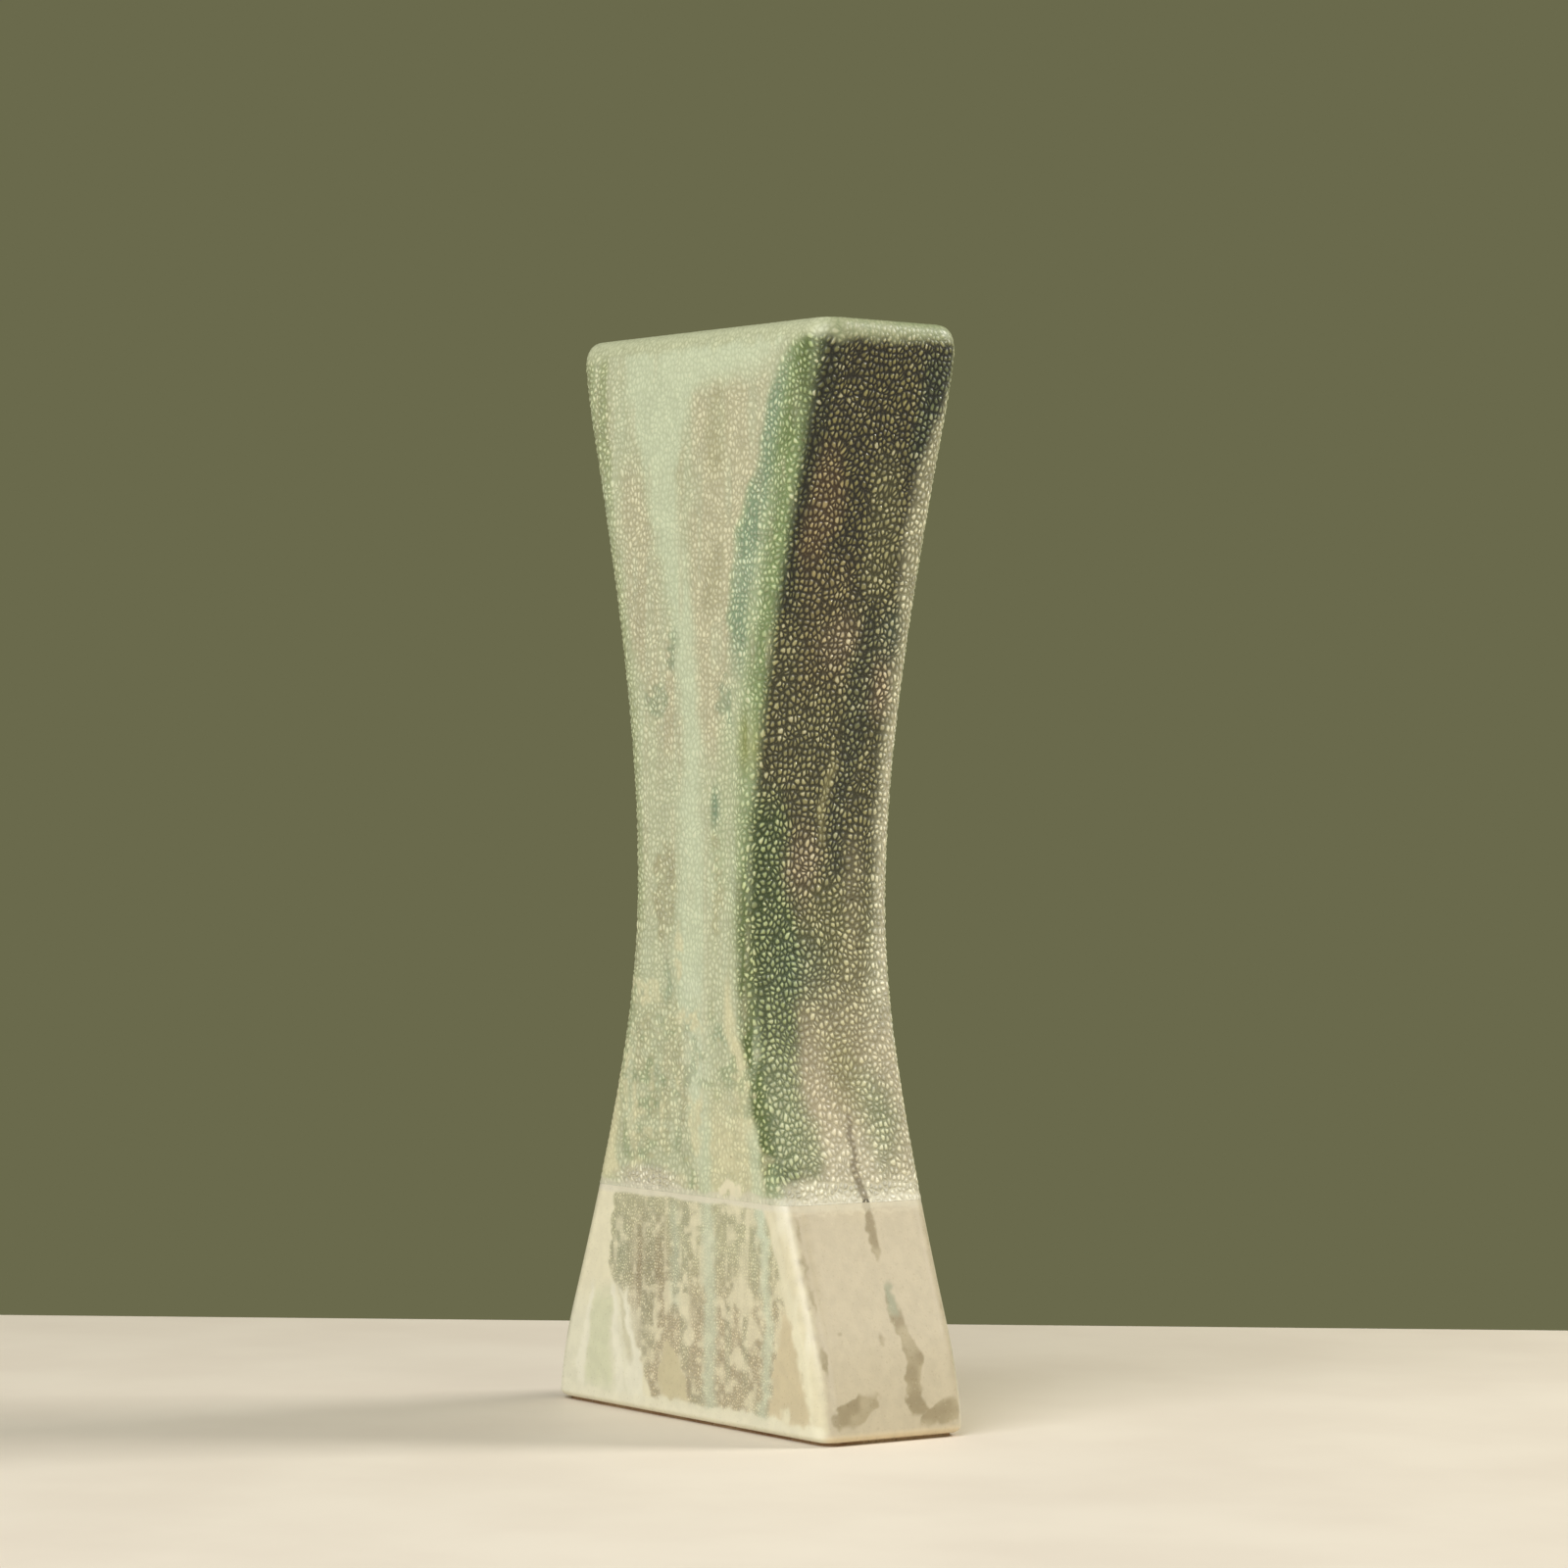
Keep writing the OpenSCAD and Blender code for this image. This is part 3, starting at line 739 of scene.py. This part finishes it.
class Tree:
    """Adds nodes to a tree, each with its links and plain values."""

    def __init__(self, tree):
        self.tree = tree

    def add(self, kind, inputs=None, **settings):
        node = self.tree.nodes.new(kind)
        for name, value in settings.items():
            setattr(node, name, value)
        self.wire(node, inputs or {})
        return node

    def wire(self, node, inputs):
        """Links or sets a node's inputs."""
        for name, value in inputs.items():
            if isinstance(value, bpy.types.NodeSocket):
                self.tree.links.new(value, node.inputs[name])
            else:
                node.inputs[name].default_value = value

    def read(self, name):
        """What is stored in the mesh under name, in a material or in a relief."""
        vector = name.endswith(("_place", "_tint"))
        if self.tree.type == "SHADER":
            node = self.add("ShaderNodeAttribute", attribute_name=name)
            return node.outputs["Vector" if vector else "Fac"]
        kind = "FLOAT_VECTOR" if vector else "FLOAT"
        node = self.add("GeometryNodeInputNamedAttribute", {"Name": name}, data_type=kind)
        return node.outputs["Attribute"]

    def math(self, operation, first, second):
        return self.add("ShaderNodeMath", {0: first, 1: second}, operation=operation).outputs[0]

    def times(self, first, second):
        return self.math("MULTIPLY", first, second)

    def bump(self, height, strength, distance):
        """The normals of a surface with height pressed out of it."""
        inputs = {"Height": height, "Strength": strength, "Distance": distance}
        return self.add("ShaderNodeBump", inputs).outputs[0]

    def ramp(self, value, low, high, to_low=0.0, to_high=1.0):
        """to_low up to low, to_high from high on, and smooth between."""
        inputs = {"Value": value, "From Min": low, "From Max": high, "To Min": to_low, "To Max": to_high}
        return self.add("ShaderNodeMapRange", inputs, interpolation_type="SMOOTHSTEP").outputs[0]

    def between(self, factor, first, second):
        """A plain value that goes from first to second with factor."""
        inputs = {0: factor, 2: first, 3: second}
        return self.add("ShaderNodeMix", inputs, data_type="FLOAT").outputs[0]

    def blend(self, factor, first, second, mode="MIX"):
        inputs = {0: factor, 6: first, 7: second}
        node = self.add("ShaderNodeMix", inputs, data_type="RGBA", blend_type=mode)
        return node.outputs[2]

    def scaled(self, place, scale):
        return self.add("ShaderNodeVectorMath", {0: place, 3: scale}, operation="SCALE").outputs[0]

    def noise(self, place, scale, detail=2.0):
        inputs = {"Vector": place, "Scale": scale, "Detail": detail}
        return self.add("ShaderNodeTexNoise", inputs).outputs[0]

    def cells(self, place, feature="F1", dimensions="2D"):
        inputs = {"Vector": place, "Scale": 1.0, "Randomness": 0.92}
        return self.add("ShaderNodeTexVoronoi", inputs, feature=feature, voronoi_dimensions=dimensions)


def bead_field(tree):
    """The beads: height from 0 in the gaps to 1 on top, and three random values for each.

    Each bead has a size of its own. Small ones, which are only painted, lie in the gaps.
    """
    on_narrow = tree.math("GREATER_THAN", tree.read("narrow_share"), 0.5)
    places = {0: on_narrow, 4: tree.read("wide_place"), 5: tree.read("narrow_place")}
    place = tree.add("ShaderNodeMix", places, data_type="VECTOR").outputs[1]
    nearest = tree.cells(place)
    chances = tree.add("ShaderNodeSeparateXYZ", {0: nearest.outputs["Color"]}).outputs
    reach = tree.ramp(chances[2], 0, 1, 0.62, 1.1)
    dome = tree.ramp(nearest.outputs["Distance"], 0.04, reach, 1, 0)
    edge = tree.cells(place, "DISTANCE_TO_EDGE").outputs["Distance"]
    height = tree.times(tree.ramp(edge, 0, 0.36), dome)
    small = tree.cells(tree.scaled(place, 2.3)).outputs["Distance"]
    return height, tree.ramp(small, 0.05, 0.5, 0.32, 0), chances


def make_bead_relief():
    """A node group that presses the gaps between the beads into a coat of glaze."""
    group = bpy.data.node_groups.new("bead_relief", "GeometryNodeTree")
    for way in ("INPUT", "OUTPUT"):
        group.interface.new_socket("Geometry", in_out=way, socket_type="NodeSocketGeometry")
    tree = Tree(group)
    start = tree.add("NodeGroupInput")
    height = bead_field(tree)[0]
    depth = tree.times(tree.math("SUBTRACT", height, 1), tree.read("bead_relief"))
    normal = tree.add("GeometryNodeInputNormal").outputs[0]
    offset = tree.scaled(normal, tree.times(depth, MM))
    moved = tree.add("GeometryNodeSetPosition", {"Geometry": start.outputs[0], "Offset": offset})
    tree.add("NodeGroupOutput", {0: moved.outputs[0]})
    return group


# ---- Materials ----

WET_ROUGH = 0.12                    # roughness of the beads that look wet
# CROWN_HIGHLIGHT is a painted highlight: the pale colour blended onto the crowns of the brightest beads.
CROWN_HIGHLIGHT = (216, 211, 180)             # display colour on top of the thickest beads
IRON = (0.16, 0.1, 0.05, 1.0)       # linear colour of iron specks


def opaque(colour):
    """A display colour as the linear, opaque value of a colour socket."""
    return (*linear(colour), 1.0)


def new_material(name):
    """A node material: its tree, its Principled shader, and the place of what it shades."""
    material = bpy.data.materials.new(name)
    material.use_nodes = True
    material.node_tree.nodes.clear()
    tree = Tree(material.node_tree)
    shader = tree.add("ShaderNodeBsdfPrincipled")
    tree.add("ShaderNodeOutputMaterial", {"Surface": shader.outputs[0]})
    return material, tree, shader, tree.add("ShaderNodeTexCoord").outputs["Object"]


def speckle(tree, place, cells_per_metre, size, share):
    """1 on small round specks, one in share of the cells, and 0 elsewhere."""
    cells = tree.cells(tree.scaled(place, cells_per_metre), dimensions="3D")
    chance = tree.add("ShaderNodeSeparateColor", {0: cells.outputs["Color"]}).outputs[0]
    near = tree.ramp(cells.outputs["Distance"], 0.5 * size, size, 1.0, 0.0)
    return tree.times(near, tree.ramp(chance, 0.98 - share, 1.0 - share))


def make_glaze(name, bead_rough, gap_rough, wet_beads, coat):
    """A glaze whose colours, gaps and beads come from what is stored in its mesh."""
    material, tree, shader, place = new_material(name)
    gap = tree.read("bead_gap")
    large, small, chances = bead_field(tree)
    height = tree.math("MAXIMUM", large, small)
    shown = tree.ramp(height, tree.math("SUBTRACT", gap, 0.34), tree.math("ADD", gap, 0.42))
    beaded = tree.ramp(gap, 0, 0.34)

    # Beads are lighter or darker one by one and in clusters, and brightest on their crowns: each is painted
    # darker towards its edge as shade and brighter on its crown as highlight.
    spread = tree.math("ADD", 0.6, tree.times(0.95, tree.math("POWER", chances[0], 3)))
    cluster = tree.ramp(tree.noise(place, 170), 0.35, 0.65, 0.78, 1.22)
    level = tree.times(spread, tree.ramp(height, 0.05, 0.9, 0.46, 1.36))
    level = tree.times(level, cluster)
    body = tree.between(beaded, 1, tree.math("MINIMUM", level, 1.3))
    bead = tree.blend(1, tree.read("bead_tint"), body, "MULTIPLY")
    # A pale painted highlight on the crowns of the brightest beads.
    crown_highlight = tree.times(tree.ramp(level, 1.2, 2.5), tree.ramp(gap, 0, 0.34, 0.25, 0.6))
    bead = tree.blend(crown_highlight, bead, opaque(CROWN_HIGHLIGHT))
    colour = tree.blend(shown, tree.read("ground_tint"), bead)

    # Cloudiness in the glaze, and a few specks of iron from the clay.
    cloud = tree.ramp(tree.noise(place, 260, 4), 0.3, 0.7, 0.955, 1.035)
    colour = tree.blend(1, colour, cloud, "MULTIPLY")
    iron = speckle(tree, place, 330, 0.16, 0.012)
    colour = tree.blend(tree.times(iron, 0.4), colour, IRON)

    # Beads are glossy and the ground dull. A few beads look wet and catch the light.
    wet = tree.times(tree.ramp(chances[1], 0.999 - wet_beads, 1 - wet_beads), beaded)
    glossy = tree.math("SUBTRACT", bead_rough, tree.times(wet, bead_rough - WET_ROUGH))
    uneven = tree.ramp(tree.noise(place, 900), 0.3, 0.7, -0.04, 0.06)
    rough = tree.math("ADD", tree.between(shown, gap_rough, glossy), uneven)
    fine = tree.math("ADD", tree.times(height, beaded),
                     tree.times(tree.noise(place, 1400), 0.1))
    tree.wire(shader, {
        "Base Color": colour, "Roughness": rough, "Normal": tree.bump(fine, 0.7, 0.0004),
        "Coat Weight": coat, "Coat Roughness": 0.22, "Coat IOR": 1.45, "IOR": 1.5,
    })
    return material


def make_liner():
    """Plain glaze inside: pale, finely pitted, and pooled greener over the floor."""
    material, tree, shader, place = new_material("liner_glaze")
    z = tree.add("ShaderNodeSeparateXYZ", {0: place}).outputs[2]
    cloud = tree.noise(place, 45, 5)
    colour = tree.blend(tree.ramp(cloud, 0.35, 0.65), opaque(LINER_PALE), opaque(LINER_SAGE))
    pooled = tree.ramp(z, FLOOR_COIL_Z * MM, 2 * FLOOR_COIL_Z * MM, 0.7, 0)
    colour = tree.blend(pooled, colour, opaque(LINER_POOL))
    lip = tree.ramp(z, (HEIGHT - 12) * MM, (HEIGHT - 1) * MM, 0, 0.6)
    colour = tree.blend(lip, colour, opaque(RIM_EDGE[0]))
    pits = speckle(tree, place, 420, 0.2, 0.5)
    colour = tree.blend(tree.times(pits, 0.4), colour, IRON)
    rough = tree.ramp(cloud, 0.3, 0.7, 0.24, 0.38)
    normal = tree.bump(tree.times(pits, -1), 0.3, 0.0002)
    tree.wire(shader, {
        "Base Color": colour, "Roughness": rough, "Normal": normal,
        "Coat Weight": 0.4, "Coat Roughness": 0.2,
    })
    return material


def make_clay():
    """Bare fired stoneware: warm, matt and gritty, toasted in patches."""
    material, tree, shader, place = new_material("stoneware_clay")
    toast = tree.ramp(tree.noise(place, 40, 4), 0.35, 0.7)
    colour = tree.blend(toast, opaque(CLAY), opaque(TOASTED_CLAY))
    grit = tree.noise(place, 1600, 3)
    colour = tree.blend(tree.ramp(grit, 0.58, 0.66, 0, 0.6), colour, opaque(DARK_GRIT))
    colour = tree.blend(tree.ramp(grit, 0.33, 0.4, 0.5, 0), colour, opaque(PALE_GRIT))
    height = tree.math("ADD", grit, tree.times(tree.noise(place, 300), 0.6))
    tree.wire(shader, {
        "Base Color": colour, "Roughness": tree.ramp(grit, 0.3, 0.7, 0.78, 0.92),
        "Normal": tree.bump(height, 0.5, 0.0003), "Specular IOR Level": 0.3,
    })
    return material


# ---- The coats of glaze ----

COLUMN_COUNTS = (24, 240, 94)   # in each corner, across a wide face and a narrow one
LINER_COLUMNS = (12, 60, 30)
FINE_STEP = 0.42                # height between the rows that carry relief
COARSE_STEP = 14.0              # height between rows that nothing shows
LINER_STEP = 3.0
RIM_STEPS = 20
FOOT_STEPS = 8
FILLET_STEPS = 10
HEM = 0.05                      # height of the first row, which keeps the coat's edge crisp


def outside_levels(side_coat, step):
    """The wall and the rim above the dip line, with side_coat of glaze on the clay."""
    wall = [(z, COAT - side_coat) for z in heights(FULL_COAT_Z, RIM_Z, step)]
    top_coat = RIM_COAT * side_coat / COAT
    return wall + rim_levels(side_coat, top_coat)


def dress(piece, node, material):
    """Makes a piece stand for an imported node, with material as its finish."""
    piece.data.materials.append(material)
    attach(piece, "root")
    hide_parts(node)


def build_coat(name, shown, hidden, relief_rows, bead_size, paint_wide, paint_narrow):
    """A painted coat of glaze, from its shown levels back over the ones hidden behind.

    Only the first relief_rows rows of points move, to make the beads.
    """
    levels = shown + hidden[::-1]
    columns = make_columns(*COLUMN_COUNTS)
    piece, points = loft(name, levels, columns, True)
    look = paint_all_round(points, columns, paint_wide, paint_narrow)
    moves = np.repeat(np.arange(len(levels)) < relief_rows, len(columns))
    alpha = np.ones((len(points), 1))
    stored = unroll(points, levels, columns, bead_size)
    stored["bead_tint"] = np.hstack([look[BEAD].T, alpha])
    stored["ground_tint"] = np.hstack([look[GROUND].T, alpha])
    stored["bead_gap"] = look[GAP]
    stored["bead_relief"] = np.where(moves, look[RELIEF], 0)
    for layer, values in stored.items():
        store(piece.data, layer, values)
    piece.modifiers.new("bead_relief", "NODES").node_group = bead_relief
    return piece


def build_beaded_glaze():
    """The beaded coat, from the dip line up and over the outer half of the rim."""
    thin = GLOSS_STEP - FEATHER_T
    feather = [(DIP_Z, thin), (DIP_Z + HEM, thin)]
    rising = heights(DIP_Z, FULL_COAT_Z, FINE_STEP)[1:-1]
    feather += [(z, thin * (1 - (z - DIP_Z) / FEATHER_H)) for z in rising]
    outside = feather + outside_levels(COAT, FINE_STEP)
    against_base = [(DIP_Z, GLOSS_STEP)] + outside_levels(BASE_COAT, COARSE_STEP)
    piece = build_coat("glaze_beaded", outside, against_base, len(outside), 1.0,
                       paint_wide_beads, paint_narrow_beads)
    material = make_glaze("beaded_glaze", bead_rough=0.42, gap_rough=0.62, wet_beads=0.06, coat=0.1)
    dress(piece, "beaded_glaze", material)


def build_base_glaze():
    """The smooth coat over the whole outside, thicker below the dip line."""
    foot = foot_levels(COAT - GLOSS_STEP)
    low = foot + [(z, GLOSS_STEP) for z in heights(foot[-1][0], DIP_Z, FINE_STEP)[1:]]
    outside = low + outside_levels(BASE_COAT, COARSE_STEP)
    bare_wall = [(z, COAT) for z in heights(BARE_FOOT + FOOT_R, RIM_Z, COARSE_STEP)]
    against_clay = foot_levels(0.0)[:-1] + bare_wall + rim_levels(0.0, 0.0)
    piece = build_coat("glaze_base", outside, against_clay, len(low), FINE_BEADS,
                       paint_wide_gloss, paint_narrow_gloss)
    material = make_glaze("base_glaze", bead_rough=0.3, gap_rough=0.5, wet_beads=0.05, coat=0.35)
    dress(piece, "base_glaze", material)


def build_liner():
    """The cup of glaze inside, from the rim's top line down over the floor."""
    wall_z = heights(FLOOR_COIL_Z, LIP_Z, LINER_STEP)
    lip = lip_levels(0.0, 0.0, 8)[::-1]
    against_clay = fillet_levels(COIL_R)[:-1] + [(z, INNER) for z in wall_z[1:-1]] + lip
    inside = lip_levels(LINER_COAT, RIM_COAT, 12)
    inside += [(z, INNER + LINER_COAT) for z in wall_z[-2:0:-1]]
    inside += fillet_levels(COIL_R - LINER_COAT)[::-1]
    floor_z, floor_inset = inside[-1]
    floor = [(floor_z, inset) for inset in np.linspace(floor_inset, HALF_DEPTH - 0.6, 6)[1:]]
    piece, _ = loft("glaze_liner", against_clay + inside + floor, make_columns(*LINER_COLUMNS), False)
    dress(piece, "liner_glaze", make_liner())


def finish_clay():
    """Gives the slabs, the coils and the base their bare clay."""
    clay = make_clay()
    for name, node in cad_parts.items():
        if name.endswith(("slab", "coil")):
            node.material_slots[0].material = clay


# ---- Floor, light and camera ----

VIEW_AZIMUTH = math.radians(53.4)   # 0 looks at the front, 90 at the right side
VIEW_DISTANCE = 1.35
VIEW_HEIGHT = 0.1754
VIEW_ASIDE = 0.0061                 # the camera stands this far to the right of the vase
VIEW_ROLL = math.radians(0.57)
VIEW_LENS = 111.7
FLOOR_BEHIND = 0.234                # how far the floor reaches behind the vase

RIGHTWARD = Vector((math.cos(VIEW_AZIMUTH), math.sin(VIEW_AZIMUTH), 0))
TOWARDS_CAMERA = Vector((math.sin(VIEW_AZIMUTH), -math.cos(VIEW_AZIMUTH), 0))
UPWARD = Vector((0, 0, 1))


def build_floor():
    """A plain pale floor, with its far edge square to the camera."""
    half_x = 1.6
    near = 2.2
    corners = [(-half_x, -FLOOR_BEHIND), (half_x, -FLOOR_BEHIND), (half_x, near), (-half_x, near)]
    points = [RIGHTWARD * aside + TOWARDS_CAMERA * towards for aside, towards in corners]
    mesh = bpy.data.meshes.new("floor")
    mesh.from_pydata(points, [], [(3, 2, 1, 0)])
    floor = add_object("floor", mesh)
    material, tree, shader, place = new_material("floor")
    cloud = tree.ramp(tree.noise(place, 14, 5), 0.3, 0.7)
    colour = tree.blend(cloud, opaque(FLOOR_DULL), opaque(FLOOR_PALE))
    tree.wire(shader, {"Base Color": colour, "Roughness": 0.6})
    mesh.materials.append(material)


def soft_light(name, azimuth, elevation, distance, size, power, colour):
    """A square area light that looks at the middle of the vase."""
    around = math.radians(azimuth)
    rise = math.radians(elevation)
    away = Vector((math.sin(around) * math.cos(rise), -math.cos(around) * math.cos(rise), math.sin(rise)))
    light = bpy.data.lights.new(name, "AREA")
    light.size = size
    light.energy = power
    light.color = colour
    lamp = add_object(name, light)
    lamp.location = Vector((0, 0, HEIGHT * MM / 2)) + away * distance
    lamp.rotation_euler = away.to_track_quat("Z", "Y").to_euler()
    lamp.visible_camera = False


def light_scene():
    """A soft key from the right and a little behind, a wide fill from the front left."""
    soft_light("key", 156, 34, 1.6, 0.5, 18, (1, 0.97, 0.94))
    soft_light("fill", 22, 35, 1.8, 1.4, 31, (0.94, 0.94, 1))
    soft_light("side", 92, 20, 2, 1, 4, (1, 0.99, 0.96))
    world = bpy.data.worlds.new("studio")
    bpy.context.scene.world = world
    world.use_nodes = True
    backdrop = world.node_tree.nodes["Background"]
    backdrop.inputs["Color"].default_value = opaque(BACKDROP)
    backdrop.inputs["Strength"].default_value = 1


def place_camera():
    """A level camera at table height, rolled as the photograph is."""
    right = RIGHTWARD * math.cos(VIEW_ROLL) + UPWARD * math.sin(VIEW_ROLL)
    up = UPWARD * math.cos(VIEW_ROLL) - RIGHTWARD * math.sin(VIEW_ROLL)
    data = bpy.data.cameras.new("camera")
    data.lens = VIEW_LENS
    data.sensor_width = 36
    data.clip_start = 0.05
    data.clip_end = 50
    camera = add_object("camera", data)
    turn = Matrix((right, up, TOWARDS_CAMERA)).transposed().to_4x4()
    place = TOWARDS_CAMERA * VIEW_DISTANCE + RIGHTWARD * VIEW_ASIDE + UPWARD * VIEW_HEIGHT
    camera.matrix_world = Matrix.Translation(place) @ turn
    bpy.context.scene.camera = camera


bead_relief = make_bead_relief()
build_beaded_glaze()
build_base_glaze()
build_liner()
finish_clay()
build_floor()
light_scene()
place_camera()
bpy.context.scene.view_settings.view_transform = "Standard"
